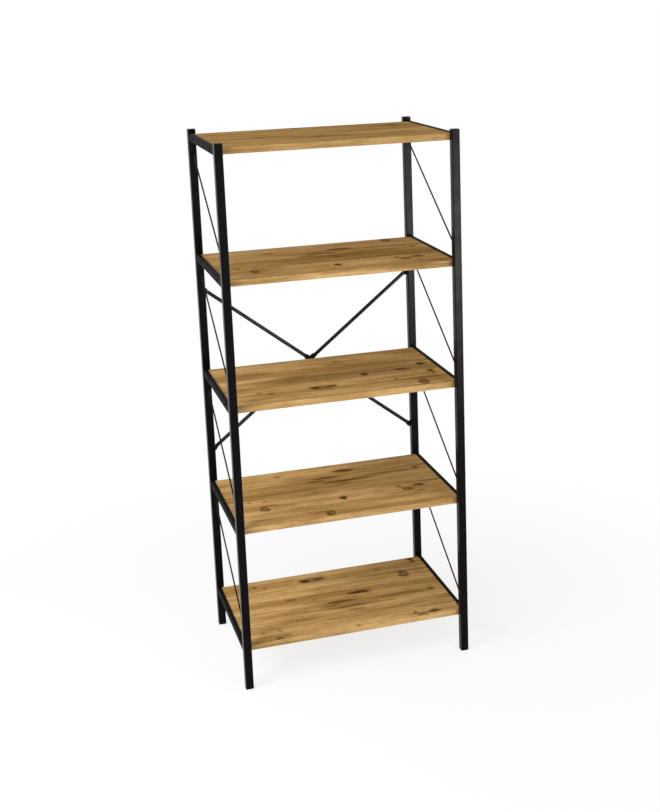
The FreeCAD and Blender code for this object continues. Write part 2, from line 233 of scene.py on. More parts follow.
plug_plastic = sprayed_material("moulded_plug_plastic", PLASTIC_BLACK, PLASTIC_DUSTED, PLASTIC_ROUGHNESS,
                                PLASTIC_SPECULAR, MOULD_GRAIN_SCALE, MOULD_GRAIN_DEPTH)
for corner in CORNERS:
    for kind, other_end in (("cap", -1), ("foot", 1)):
        low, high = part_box(f"{kind}_{corner}")
        post_low, post_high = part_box(f"post_{corner}")
        middle = (low + high) / 2
        half = (high.x - low.x) / 2
        plug_half = half - TUBE_WALL - PLUG_CLEARANCE
        plug_corner = TUBE_CORNER - TUBE_WALL
        face = high.z if kind == "cap" else low.z
        seat = post_high.z if kind == "cap" else post_low.z
        tip = low.z if kind == "cap" else high.z
        dome = CAP_DOME if kind == "cap" else 0.0
        outline = [(half * CROWN_SHARE, TUBE_CORNER, face)]
        outline += [(half - RIM_ROUND * inset, TUBE_CORNER, face + (dome + RIM_ROUND * drop) * other_end)
                    for inset, drop in RIM_STEPS]
        outline += [
            (half, TUBE_CORNER, seat),
            (plug_half, plug_corner, seat),
            (plug_half, plug_corner, tip - PLUG_LEAD * other_end),
            (plug_half - PLUG_LEAD / 3, plug_corner, tip),
        ]
        axis = Vector((middle.x, middle.y, 0))
        rings = [[axis + point for point in rounded_square(*ring)] for ring in outline]
        mesh = ring_mesh(f"moulded_{kind}_{corner}", rings)
        add_piece(mesh, plug_plastic, "plug_plastic", f"{kind}_{corner}")


# Side rails: ten lengths of rectangular steel tube, each welded between a front and a rear post at a shelf.
# A board's end stands against the inner face of each rail, held by screws that go through the tube.
# They carry the same black coat, which looks duller on them than on the posts.
SHELVES = range(1, 6)
RAIL_CORNER = 0.0015
RAIL_ROUGHNESS = 0.62
RAIL_SPECULAR = 0.03
ARC_STEPS = 5
MERGE_DISTANCE = 1e-6
TURN_ALONG_DEPTH = (math.radians(90), 0.0, 0.0)
rail_coat = sprayed_material("dull_powder_coat", COAT_BLACK, COAT_DUSTED, RAIL_ROUGHNESS, RAIL_SPECULAR,
                             PEEL_SCALE, PEEL_DEPTH)


def section_outline(name, corners):
    """A closed outline in the XY plane, of corners given as x, y and the radius that rounds each."""
    mesh = bpy.data.meshes.new(name)
    count = len(corners)
    sides = [(i, (i + 1) % count) for i in range(count)]
    mesh.from_pydata([(x, y, 0) for x, y, radius in corners], sides, [])
    radii = mesh.attributes.new("corner_radius", "FLOAT", "POINT")
    radii.data.foreach_set("value", [radius for x, y, radius in corners])
    return mesh


def grow(mesh, tree, sizes):
    """Runs a Geometry Nodes tree on a mesh with its named sizes, and returns the result as a plain mesh."""
    blank = bpy.data.objects.new(mesh.name + "_blank", mesh)
    bpy.context.scene.collection.objects.link(blank)
    modifier = blank.modifiers.new("grow", "NODES")
    modifier.node_group = tree
    for socket in tree.interface.items_tree:
        if socket.in_out == "INPUT" and socket.name in sizes:
            modifier[socket.identifier] = sizes[socket.name]
    result = bpy.data.meshes.new_from_object(blank.evaluated_get(bpy.context.evaluated_depsgraph_get()))
    result.name = mesh.name
    bpy.data.objects.remove(blank)
    return result


def finish_tree(tree, made, geometry, material):
    """Ends a tree as plain faces with their material."""
    real = add_node(tree, "GeometryNodeRealizeInstances", {"Geometry": geometry}).outputs[0]
    clad = add_node(tree, "GeometryNodeSetMaterial", {"Geometry": real, "Material": material})
    tree.links.new(clad.outputs[0], made.inputs["Geometry"])


run_tree, given, made = start_group(
    "section_run", "GeometryNodeTree",
    (("Outline", "NodeSocketGeometry"), ("Length", "NodeSocketFloat"), ("Turn", "NodeSocketRotation"),
     ("Start", "NodeSocketVector"), ("Material", "NodeSocketMaterial")),
    (("Geometry", "NodeSocketGeometry"),))
line = add_node(run_tree, "GeometryNodeMeshToCurve", {"Mesh": given["Outline"]}).outputs[0]
radius = add_node(run_tree, "GeometryNodeInputNamedAttribute", {"Name": "corner_radius"}).outputs["Attribute"]
rounded = add_node(run_tree, "GeometryNodeFilletCurve", {"Curve": line, "Count": ARC_STEPS, "Radius": radius,
                                                         "Limit Radius": True}, mode="POLY").outputs[0]
face = add_node(run_tree, "GeometryNodeFillCurve", {"Curve": rounded}, mode="NGONS").outputs[0]
back = add_node(run_tree, "GeometryNodeFlipFaces", {"Mesh": face}).outputs[0]
body = add_node(run_tree, "GeometryNodeExtrudeMesh",
                {"Mesh": face, "Offset Scale": given["Length"], "Individual": False}).outputs[0]
both = add_node(run_tree, "GeometryNodeJoinGeometry", {"Geometry": back})
run_tree.links.new(body, both.inputs["Geometry"])
closed = add_node(run_tree, "GeometryNodeMergeByDistance",
                  {"Geometry": both.outputs[0], "Distance": MERGE_DISTANCE}).outputs[0]
laid = add_node(run_tree, "GeometryNodeTransform", {"Geometry": closed, "Rotation": given["Turn"],
                                                    "Translation": given["Start"]}).outputs[0]
finish_tree(run_tree, made, laid, given["Material"])

for side in ("left", "right"):
    for shelf in SHELVES:
        node = f"rail_{side}_{shelf}"
        low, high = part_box(node)
        corners = ((low.x, low.z), (high.x, low.z), (high.x, high.z), (low.x, high.z))
        outline = section_outline(f"tube_{node}", [(x, z, RAIL_CORNER) for x, z in corners])
        mesh = grow(outline, run_tree, {"Length": high.y - low.y, "Turn": TURN_ALONG_DEPTH,
                                        "Start": (0, high.y, 0), "Material": rail_coat})
        add_piece(mesh, rail_coat, "frame_steel", node)


# Side rods: eight slim round steel rods, one on each side of each bay, as stays for the welded frames.
# Each leans from high on the rear post to low on the front post, and flares into a small weld at both ends.
BAYS = range(1, 5)
WELD_FLARE = 0.75
WELD_REACH = 0.0026
WELD_STATIONS = 7
WELD_STRETCH = 0.009
CROWDING = 1.5
ROD_SIDES = 16

rod_tree, given, made = start_group(
    "welded_rod", "GeometryNodeTree",
    (("Line", "NodeSocketGeometry"), ("Radius", "NodeSocketFloat"), ("Flare", "NodeSocketFloat"),
     ("Reach", "NodeSocketFloat"), ("Material", "NodeSocketMaterial")),
    (("Geometry", "NodeSocketGeometry"),))
line = add_node(rod_tree, "GeometryNodeMeshToCurve", {"Mesh": given["Line"]}).outputs[0]
along = add_node(rod_tree, "GeometryNodeSplineParameter").outputs["Length"]
whole = add_node(rod_tree, "GeometryNodeSplineLength").outputs["Length"]
from_end = calc(rod_tree, "MINIMUM", along, calc(rod_tree, "SUBTRACT", whole, along))
share = calc(rod_tree, "DIVIDE", from_end, given["Reach"])
fade = calc(rod_tree, "EXPONENT", calc(rod_tree, "MULTIPLY", calc(rod_tree, "MULTIPLY", share, share), -1.0))
swell = calc(rod_tree, "MULTIPLY_ADD", fade, given["Flare"], 1.0)
ring = add_node(rod_tree, "GeometryNodeCurvePrimitiveCircle",
                {"Resolution": ROD_SIDES, "Radius": given["Radius"]})
tube = add_node(rod_tree, "GeometryNodeCurveToMesh", {"Curve": line, "Profile Curve": ring.outputs["Curve"],
                                                      "Scale": swell, "Fill Caps": True}).outputs[0]
finish_tree(rod_tree, made, tube, given["Material"])

for side in ("left", "right"):
    for bay in BAYS:
        node = f"rod_{side}_{bay}"
        low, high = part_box(node)
        middle_x = (low.x + high.x) / 2
        radius = (high.x - low.x) / 2
        slant = math.atan2(high.z - low.z, high.y - low.y)
        rim = radius / math.cos(slant)
        front = Vector((middle_x, low.y, low.z + rim))
        rear = Vector((middle_x, high.y, high.z - rim))
        way = (rear - front).normalized()
        near = [WELD_STRETCH * (step / (WELD_STATIONS - 1)) ** CROWDING for step in range(WELD_STATIONS)]
        stations = [front + way * d for d in near] + [rear - way * d for d in reversed(near)]
        mesh = bpy.data.meshes.new(f"welded_{node}")
        mesh.from_pydata(stations, [(i, i + 1) for i in range(len(stations) - 1)], [])
        tube = grow(mesh, rod_tree, {"Radius": radius, "Flare": WELD_FLARE, "Reach": WELD_REACH,
                                     "Material": black_coat})
        add_piece(tube, black_coat, "frame_steel", node)


# Shelf boards: five laminated boards with a printed pine foil, set between the rails with the grain along
# the width. One long print covers them all, and each board was cut from its own place on it, so the same
# knots, ringed knots and dark streaks turn up nearer the front or the rear from shelf to shelf.
FOIL_CREAM = (0.730, 0.476, 0.197, 1.0)
FOIL_PALE = (0.680, 0.437, 0.173, 1.0)
FOIL_MID = (0.400, 0.231, 0.076, 1.0)
FOIL_STREAK = (0.225, 0.120, 0.034, 1.0)
FOIL_SHADE = (0.150, 0.079, 0.022, 1.0)
FOIL_KNOT = (0.080, 0.032, 0.004, 1.0)
FOIL_RUDDY = (0.415, 0.218, 0.073, 1.0)
# Where each board lies on the print, in metres, and how much ruddier the print is there
PRINT_PLACE = {1: 0.480, 2: 0.075, 3: -0.230, 4: 0.111, 5: 0.0}
PRINT_BLUSH = {1: 0.3, 2: 0.0, 3: 0.0, 4: 0.0, 5: 0.0}
# Knots and the darkest streaks: along the board from its middle and across the print, half length and half
# width, all in mm, then depth and how hollow a ringed knot is
KNOTS = (
    (-60, 46, 15, 12, 0.95, 0), (-21, 44, 18, 9, 0.85, 0), (-42, 46, 36, 16, 0.6, 0),
    (-205, 36, 6, 6, 0.6, 0), (-176, 52, 5, 8, 0.5, 0), (152, 47, 4, 9, 0.5, 0), (258, 8, 9, 10, 0.9, 0),
    (261, 27, 7, 9, 0.75, 0), (211, 97, 13, 20, 0.85, 0.5), (62, 165, 32, 9, 0.9, 0),
    (-123, 149, 14, 6, 0.6, 0), (252, 212, 10, 10, 0.65, 0), (-234, 312, 5, 6, 0.65, 0),
    (-193, 314, 6, 8, 0.4, 0), (-182, 345, 13, 5, 0.45, 0), (-202, 363, 11, 18, 0.9, 0.6),
    (6, 363, 9, 12, 0.95, 0), (167, 337, 6, 9, 0.65, 0), (185, 359, 16, 13, 0.75, 0.3),
    (220, 343, 15, 10, 0.8, 0), (211, 384, 15, 6, 0.5, 0), (-50, 452, 12, 16, 0.9, 0.6),
    (50, -171, 11, 8, 0.55, 0), (88, -25, 11, 12, 0.85, 0), (193, -32, 22, 14, 0.65, 0),
    (255, -65, 14, 13, 0.9, 0), (-2, 203, 36, 6, 0.62, 0), (-34, 221, 18, 5, 0.42, 0),
    (40, 236, 50, 4, 0.52, 0), (30, 261, 20, 4, 0.48, 0), (-36, 488, 56, 4, 0.55, 0),
    (-10, 502, 64, 3, 0.42, 0), (212, 541, 56, 4, 0.5, 0), (232, 557, 46, 5, 0.5, 0),
    (200, 573, 64, 3, 0.42, 0), (-34, 707, 74, 4, 0.45, 0), (-8, 724, 62, 5, 0.45, 0),
    (24, 739, 84, 3, 0.38, 0), (-152, 664, 64, 4, 0.42, 0), (-128, 681, 56, 3, 0.36, 0),
    (112, 631, 84, 3, 0.42, 0), (88, 649, 74, 4, 0.36, 0), (182, 735, 64, 4, 0.36, 0),
    (58, 563, 76, 3, 0.36, 0), (-202, 557, 64, 3, 0.36, 0), (140, 790, 90, 3, 0.34, 0),
    (-90, 600, 90, 3, 0.34, 0), (-26, 495, 16, 11, 0.8, 0), (222, 551, 14, 13, 0.85, 0),
    (-14, 718, 13, 12, 0.8, 0), (-158, 668, 9, 8, 0.6, 0))
# Streaks: the same, for the long soft dark places between the knots
STREAKS = (
    (0, 203, 52, 10, 0.9, 0), (-32, 226, 30, 10, 0.75, 0), (55, 240, 85, 9, 0.8, 0),
    (35, 264, 28, 5, 0.75, 0), (170, 222, 70, 12, 0.6, 0), (60, 287, 420, 28, 0.48, 0),
    (-65, 298, 45, 18, 0.5, 0), (146, 298, 40, 13, 0.5, 0), (270, 302, 60, 24, 0.65, 0),
    (266, 420, 46, 30, 0.6, 0), (-76, 440, 22, 8, 0.6, 0), (-234, 438, 26, 7, 0.5, 0),
    (44, -144, 30, 15, 0.6, 0), (-188, -118, 45, 24, 0.5, 0), (-67, -32, 24, 14, 0.5, 0),
    (90, -45, 230, 34, 0.9, 0), (-6, -50, 34, 14, 0.45, 0), (264, -187, 60, 12, 0.5, 0),
    (236, 72, 42, 34, 0.45, 0), (165, -118, 150, 14, 0.4, 0), (-20, 492, 90, 14, 0.45, 0),
    (210, 552, 90, 24, 0.45, 0), (-20, 720, 130, 22, 0.45, 0), (-150, 670, 110, 20, 0.4, 0),
    (120, 640, 150, 18, 0.45, 0), (90, 790, 150, 14, 0.4, 0))
# Pale places: the same, for the wide clear fields of young wood
PALES = (
    (0, 366, 150, 40, 0.75, 0), (-30, 16, 170, 26, 0.65, 0), (-170, 112, 150, 20, 0.6, 0),
    (-210, 190, 90, 26, 0.5, 0), (-220, -60, 90, 40, 0.6, 0), (-170, -175, 140, 36, 0.6, 0),
    (-60, 335, 110, 16, 0.5, 0), (140, -170, 150, 30, 0.4, 0), (60, 100, 200, 24, 0.5, 0))
# Shares of the fine lines, flecks and reddish blush, and how far lines fray a streak
LINE_SHARE, FLECK_SHARE, BLUSH_SHARE = 0.55, 0.4, 0.45
FRAY_BY_LINES, FRAY_LEAST = 0.7, 0.4
FOIL_ROUGHNESS, LINE_ROUGHNESS = 0.85, 0.1
FOIL_SPECULAR = 0.0
PORE_STRENGTH = 0.25
PORE_DEPTH = 0.0002
# Layers of the grain: repeats per metre across and along it, detail, roughness, and where each sets in
# and is full
GRAIN_LAYERS = (
    ("Bands", 30.0, 1.6, 5.0, 0.68, 0.38, 0.63), ("Lines", 95.0, 4.5, 5.0, 0.66, 0.47, 0.66),
    ("Flecks", 110.0, 24.0, 3.0, 0.6, 0.5, 0.72), ("Blush", 14.0, 6.0, 3.0, 0.6, 0.46, 0.66))
GRAIN_SWAY = 0.016
# How far a mark's edge fades, as shares of its half size, and how far it is torn along and across the grain
RIM_FADE = (1.45, 0.6)
HEART_FADE = (0.7, 0.2)
TEAR_SCALE = 85.0
TEAR_REACH = (0.026, 0.010, 0.0)

grain_group, given, made = start_group(
    "pine_grain", "ShaderNodeTree", (("Place", "NodeSocketVector"),),
    (("Bands", "NodeSocketFloat"), ("Lines", "NodeSocketFloat"), ("Flecks", "NodeSocketFloat"),
     ("Blush", "NodeSocketFloat"), ("Pores", "NodeSocketFloat")))


def stretched_noise(tree, place, across, along, detail, roughness=0.55):
    """Noise drawn out along the grain: repeats per metre across it and along it."""
    drawn = add_node(tree, "ShaderNodeVectorMath", {0: place, 1: (along, across, across)},
                     operation="MULTIPLY")
    noise = add_node(tree, "ShaderNodeTexNoise", {"Vector": drawn.outputs[0], "Scale": 1.0, "Detail": detail,
                                                  "Roughness": roughness})
    return noise.outputs["Fac"]


def fade_range(tree, value, start, end, to_start=0.0, to_end=1.0):
    """A smooth rise from one level to another while the value goes from start to end."""
    node = add_node(tree, "ShaderNodeMapRange", {"Value": value, "From Min": start, "From Max": end,
                                                 "To Min": to_start, "To Max": to_end},
                    interpolation_type="SMOOTHSTEP")
    return node.outputs[0]


drift = stretched_noise(grain_group, given["Place"], across=9.0, along=3.0, detail=2.0)
sway = calc(grain_group, "MULTIPLY_ADD", drift, GRAIN_SWAY, -GRAIN_SWAY / 2)
swayed = add_node(grain_group, "ShaderNodeCombineXYZ", {"Y": sway}).outputs[0]
grain_place = add_node(grain_group, "ShaderNodeVectorMath", {0: given["Place"], 1: swayed},
                       operation="ADD").outputs[0]
for layer, across, along, detail, roughness, sets_in, full in GRAIN_LAYERS:
    figure = stretched_noise(grain_group, grain_place, across, along, detail, roughness)
    grain_group.links.new(fade_range(grain_group, figure, sets_in, full), made.inputs[layer])
pores = stretched_noise(grain_group, grain_place, across=900.0, along=22.0, detail=3.0)
grain_group.links.new(pores, made.inputs["Pores"])

mark_group, given, made = start_group(
    "pine_mark", "ShaderNodeTree",
    (("Place", "NodeSocketVector"), ("Centre", "NodeSocketVector"), ("Half Size", "NodeSocketVector"),
     ("Depth", "NodeSocketFloat"), ("Hollow", "NodeSocketFloat")), (("Mask", "NodeSocketFloat"),))
offset = add_node(mark_group, "ShaderNodeVectorMath", {0: given["Place"], 1: given["Centre"]},
                  operation="SUBTRACT")
scaled = add_node(mark_group, "ShaderNodeVectorMath", {0: offset.outputs[0], 1: given["Half Size"]},
                  operation="DIVIDE")
reach = add_node(mark_group, "ShaderNodeVectorMath", {0: scaled.outputs[0]},
                 operation="LENGTH").outputs["Value"]
rim = fade_range(mark_group, reach, *RIM_FADE)
heart = calc(mark_group, "MULTIPLY", fade_range(mark_group, reach, *HEART_FADE), given["Hollow"])
mask = calc(mark_group, "MULTIPLY", calc(mark_group, "SUBTRACT", rim, heart), given["Depth"])
mark_group.links.new(mask, made.inputs["Mask"])


def mark_mask(tree, place, marks):
    """The darkest of several marks at each place on the print."""
    darkest = None
    for along, across, half_length, half_width, depth, hollow in marks:
        mark = add_node(tree, "ShaderNodeGroup", {
            "Place": place, "Centre": (along / 1000, across / 1000, 0.0),
            "Half Size": (half_length / 1000, half_width / 1000, 1.0), "Depth": depth, "Hollow": hollow},
            node_tree=mark_group).outputs["Mask"]
        darkest = mark if darkest is None else calc(tree, "MAXIMUM", darkest, mark)
    return darkest


print_group, given, made = start_group(
    "pine_print", "ShaderNodeTree", (("Place", "NodeSocketVector"),),
    (("Knots", "NodeSocketFloat"), ("Streaks", "NodeSocketFloat"), ("Pales", "NodeSocketFloat")))
ragged = add_node(print_group, "ShaderNodeTexNoise",
                  {"Vector": given["Place"], "Scale": TEAR_SCALE, "Detail": 4.0}).outputs["Color"]
half_back = [-distance / 2 for distance in TEAR_REACH]
shaken = add_node(print_group, "ShaderNodeVectorMath", {0: ragged, 1: TEAR_REACH, 2: half_back},
                  operation="MULTIPLY_ADD")
torn_place = add_node(print_group, "ShaderNodeVectorMath", {0: given["Place"], 1: shaken.outputs[0]},
                      operation="ADD")
flat_place = add_node(print_group, "ShaderNodeVectorMath", {0: torn_place.outputs[0], 1: (1.0, 1.0, 0.0)},
                      operation="MULTIPLY").outputs[0]
for layer, marks in (("Knots", KNOTS), ("Streaks", STREAKS), ("Pales", PALES)):
    print_group.links.new(mark_mask(print_group, flat_place, marks), made.inputs[layer])


def lay_over(tree, colour, mask, share, ink):
    """Prints an ink over a colour where a mask is, at a share of its strength."""
    return mix_colours(tree, calc(tree, "MULTIPLY", mask, share), colour, ink)


def finish_foil(tree, shader, grain, colour, roughness, specular, pore_depth):
    """Ends a printed foil: its colour, its gloss, which dark lines dull a little, and its pressed pores."""
    tree.links.new(colour, shader.inputs["Base Color"])
    gloss = calc(tree, "MULTIPLY_ADD", grain["Lines"], LINE_ROUGHNESS, roughness)
    tree.links.new(gloss, shader.inputs["Roughness"])
    shader.inputs["Specular IOR Level"].default_value = specular
    add_bump(tree, shader, grain["Pores"], PORE_STRENGTH, pore_depth)


def foil_material(shelf):
    """The printed foil as it lies on one board: the print runs from the board's rear edge to the front."""
    material, tree, shader, place = start_material(f"pine_foil_{shelf}")
    rear_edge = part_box(f"shelf_{shelf}_rear_band")[1].y
    start = (0.0, rear_edge + PRINT_PLACE[shelf], 0.0)
    print_place = add_node(tree, "ShaderNodeMapping", {"Vector": place, "Scale": (1.0, -1.0, 1.0),
                                                       "Location": start}).outputs[0]
    grain = add_node(tree, "ShaderNodeGroup", {"Place": print_place}, node_tree=grain_group).outputs
    marks = add_node(tree, "ShaderNodeGroup", {"Place": print_place}, node_tree=print_group).outputs
    colour = mix_colours(tree, grain["Bands"], FOIL_PALE, FOIL_MID)
    colour = mix_colours(tree, marks["Pales"], colour, FOIL_CREAM)
    blush = calc(tree, "MULTIPLY_ADD", grain["Blush"], BLUSH_SHARE, PRINT_BLUSH[shelf])
    colour = mix_colours(tree, blush, colour, FOIL_RUDDY)
    colour = lay_over(tree, colour, grain["Flecks"], FLECK_SHARE, FOIL_STREAK)
    colour = lay_over(tree, colour, grain["Lines"], LINE_SHARE, FOIL_STREAK)
    fray = calc(tree, "MULTIPLY_ADD", grain["Lines"], FRAY_BY_LINES, FRAY_LEAST)
    colour = lay_over(tree, colour, marks["Streaks"], fray, FOIL_SHADE)
    colour = mix_colours(tree, marks["Knots"], colour, FOIL_KNOT)
    finish_foil(tree, shader, grain, colour, FOIL_ROUGHNESS, FOIL_SPECULAR, PORE_DEPTH)
    return material


for shelf in SHELVES:
    paint_node(f"shelf_{shelf}_board", foil_material(shelf))


# Edge bands: thin strips glued on the front and rear edge of each board, a paler print of the same pine.
# Their outer arrises are eased by the edge trimmer, so the board's front catches a soft line of light.
BAND_PALE = (0.510, 0.326, 0.130, 1.0)
BAND_MID = (0.345, 0.205, 0.073, 1.0)
BAND_STREAK = (0.195, 0.102, 0.031, 1.0)
BAND_RUDDY = (0.315, 0.166, 0.053, 1.0)
BAND_LINE_SHARE, BAND_FLECK_SHARE, BAND_BLUSH_SHARE = 0.6, 0.5, 0.6
BAND_ROUGHNESS = 0.58
BAND_SPECULAR = 0.05
BAND_PORE_DEPTH = 0.00015
ARRIS_ROUND = 0.0006
GLUE_EDGE_ROUND = 0.00005
TURN_ALONG_WIDTH = (math.radians(90), 0.0, math.radians(90))

edge_band, tree, shader, place = start_material("pine_edge_band")
upright_place = add_node(tree, "ShaderNodeMapping", {"Vector": place,
                                                     "Rotation": (math.radians(90), 0.0, 0.0)}).outputs[0]
grain = add_node(tree, "ShaderNodeGroup", {"Place": upright_place}, node_tree=grain_group).outputs
colour = mix_colours(tree, grain["Bands"], BAND_PALE, BAND_MID)
colour = lay_over(tree, colour, grain["Blush"], BAND_BLUSH_SHARE, BAND_RUDDY)
colour = lay_over(tree, colour, grain["Flecks"], BAND_FLECK_SHARE, BAND_STREAK)
colour = lay_over(tree, colour, grain["Lines"], BAND_LINE_SHARE, BAND_STREAK)
finish_foil(tree, shader, grain, colour, BAND_ROUGHNESS, BAND_SPECULAR, BAND_PORE_DEPTH)

for shelf in SHELVES:
    for side in ("front", "rear"):
        node = f"shelf_{shelf}_{side}_band"
        low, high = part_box(node)
        outer, glued = (low.y, high.y) if side == "front" else (high.y, low.y)
        outline = section_outline(f"eased_{node}", (
            (outer, low.z, ARRIS_ROUND), (outer, high.z, ARRIS_ROUND),
            (glued, high.z, GLUE_EDGE_ROUND), (glued, low.z, GLUE_EDGE_ROUND)))
        mesh = grow(outline, run_tree, {"Length": high.x - low.x, "Turn": TURN_ALONG_WIDTH,
                                        "Start": (low.x, 0, 0), "Material": edge_band})
        add_piece(mesh, edge_band, "edge_band", node)


# Board screws: four black pan-head wood screws for each shelf, driven through the rails into the board's
# ends. Each is a domed head with a cross recess, a shank and a point; one is shaped and set out on a grid.
SCREW_SIDES = 48
SCREW_SHANK = 0.002
SCREW_LENGTH = 0.036
SCREW_POINT = 0.004
CROSS_ARM = 0.0023
CROSS_WIDTH = 0.00055
CROSS_DEPTH = 0.0013
TINY = 1e-6
# The head's dome, from the crown to its seat: radius and drop as shares of the head's own
HEAD_STEPS = ((0.62, 0.0), (0.84, 0.16), (0.96, 0.42), (1.0, 0.72), (0.985, 1.0))
RECESS_TAPER = 0.8
RECESS_RIM = 0.03
POINT_SHARE = 0.12
SCREW_BLACK = (0.004, 0.004, 0.0042, 1.0)
SCREW_DUSTED = (0.009, 0.0088, 0.0085, 1.0)
SCREW_ROUGHNESS = 0.5
SCREW_SPECULAR = 0.05
SCREW_GRAIN_SCALE = 1800.0
SCREW_GRAIN_DEPTH = 0.0001
screw_coat = sprayed_material("blackened_screw_steel", SCREW_BLACK, SCREW_DUSTED, SCREW_ROUGHNESS,
                              SCREW_SPECULAR, SCREW_GRAIN_SCALE, SCREW_GRAIN_DEPTH)

grid_tree, given, made = start_group(
    "screw_grid", "GeometryNodeTree",
    (("Screw", "NodeSocketGeometry"), ("Pitch Along", "NodeSocketFloat"), ("Pitch Across", "NodeSocketFloat"),
     ("Lean Inwards", "NodeSocketFloat"), ("Turn", "NodeSocketRotation"), ("Centre", "NodeSocketVector"),
     ("Material", "NodeSocketMaterial")),
    (("Geometry", "NodeSocketGeometry"),))
spots = add_node(grid_tree, "GeometryNodeMeshGrid",
                 {"Size X": given["Pitch Along"], "Size Y": given["Pitch Across"],
                  "Vertices X": 2, "Vertices Y": 2}).outputs["Mesh"]
spot = add_node(grid_tree, "GeometryNodeInputPosition").outputs[0]
side = calc(grid_tree, "SIGN", add_node(grid_tree, "ShaderNodeSeparateXYZ", {0: spot}).outputs["X"])
inwards = calc(grid_tree, "MULTIPLY", calc(grid_tree, "MULTIPLY", side, -1.0), given["Lean Inwards"])
lean = add_node(grid_tree, "ShaderNodeCombineXYZ", {"Y": inwards}).outputs[0]
leant = add_node(grid_tree, "FunctionNodeEulerToRotation", {0: lean}).outputs[0]
screws = add_node(grid_tree, "GeometryNodeInstanceOnPoints",
                  {"Points": spots, "Instance": given["Screw"], "Rotation": leant}).outputs[0]
stood = add_node(grid_tree, "GeometryNodeTransform", {"Geometry": screws, "Rotation": given["Turn"],
                                                      "Translation": given["Centre"]}).outputs[0]
finish_tree(grid_tree, made, stood, given["Material"])


def turned_ring(radius_at, z):
    """A ring around the Z axis whose radius is a number or follows the angle, as a drive recess does."""
    angles = [math.radians(360) * i / SCREW_SIDES for i in range(SCREW_SIDES)]
    sizes = [radius_at(angle) if callable(radius_at) else radius_at for angle in angles]
    return [Vector((size * math.cos(angle), size * math.sin(angle), z))
            for size, angle in zip(sizes, angles)]


def cross_recess(angle):
    """The outline of a cross: two slots at right angles."""
    across = max(abs(math.sin(angle)), TINY)
    along = max(abs(math.cos(angle)), TINY)
    return max(min(CROSS_ARM / along, CROSS_WIDTH / across), min(CROSS_ARM / across, CROSS_WIDTH / along))


def screw_mesh(name, head_radius, head_height, shank_radius, shank_length, point, recess, recess_depth):
    """A domed screw head from z = -head_height to 0, its drive recess, and a shank that runs up from it."""
    crown = -head_height
    rings = [turned_ring(lambda angle: recess(angle) * RECESS_TAPER, crown + recess_depth),
             turned_ring(recess, crown + head_height * RECESS_RIM)]
    rings += [turned_ring(head_radius * share, crown + head_height * drop) for share, drop in HEAD_STEPS]
    rings += [turned_ring(shank_radius, 0.0), turned_ring(shank_radius, shank_length - point),
              turned_ring(shank_radius * POINT_SHARE, shank_length)]
    return ring_mesh(name, rings)


for shelf in SHELVES:
    node = f"shelf_{shelf}_screws"
    low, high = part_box(node)
    rail_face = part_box(f"rail_right_{shelf}")[1].x
    head_radius = (high.z - low.z) / 2
    screw = screw_mesh(f"set_{node}", head_radius, high.x - rail_face, SCREW_SHANK, SCREW_LENGTH, SCREW_POINT,
                       cross_recess, CROSS_DEPTH)
    mesh = grow(screw, grid_tree, {
        "Pitch Along": 2 * rail_face, "Pitch Across": high.y - low.y - 2 * head_radius,
        "Lean Inwards": math.radians(90), "Centre": (low + high) / 2, "Material": screw_coat})
    add_piece(mesh, screw_coat, "screw_steel", node)


# Brace rods: two round steel rods that cross behind the middle shelf and keep the unit from racking.
# Each is pressed flat at its ends, where it is screwed to the rear posts, and on one side of the crossing,
# where the two flats lie face to face under one bolt; they carry the same black coat, a little glossier.
FLAT_WIDTH = 0.014
CENTRE_FLAT = 0.024
END_FLAT = 0.024
OVERHANG = 0.009
END_ROUND = 0.005
PRESS_RUN = 0.009
BRACE_SIDES = 32
FLAT_STEPS, PRESS_STEPS, RUN_STEPS, ROUND_STEPS = 6, 10, 12, 8
FLAT_SQUARENESS = 5
BRACE_CREASE = 50
BRACE_BLACK = (0.003, 0.003, 0.0032, 1.0)
BRACE_DUSTED = (0.008, 0.0078, 0.0075, 1.0)
BRACE_ROUGHNESS = 0.2
BRACE_SPECULAR = 0.2
BRACE_PEEL_DEPTH = 0.0002
brace_coat = sprayed_material("brace_rod_coat", BRACE_BLACK, BRACE_DUSTED, BRACE_ROUGHNESS, BRACE_SPECULAR,
                              PEEL_SCALE, BRACE_PEEL_DEPTH)


def ease(share):
    """A smooth step from 0 to 1."""
    share = min(max(share, 0.0), 1.0)
    return share * share * (3 - 2 * share)


def between(start, end, steps):
    """Evenly spaced places after the start, up to the end."""
    return [start + (end - start) * i / steps for i in range(1, steps + 1)]


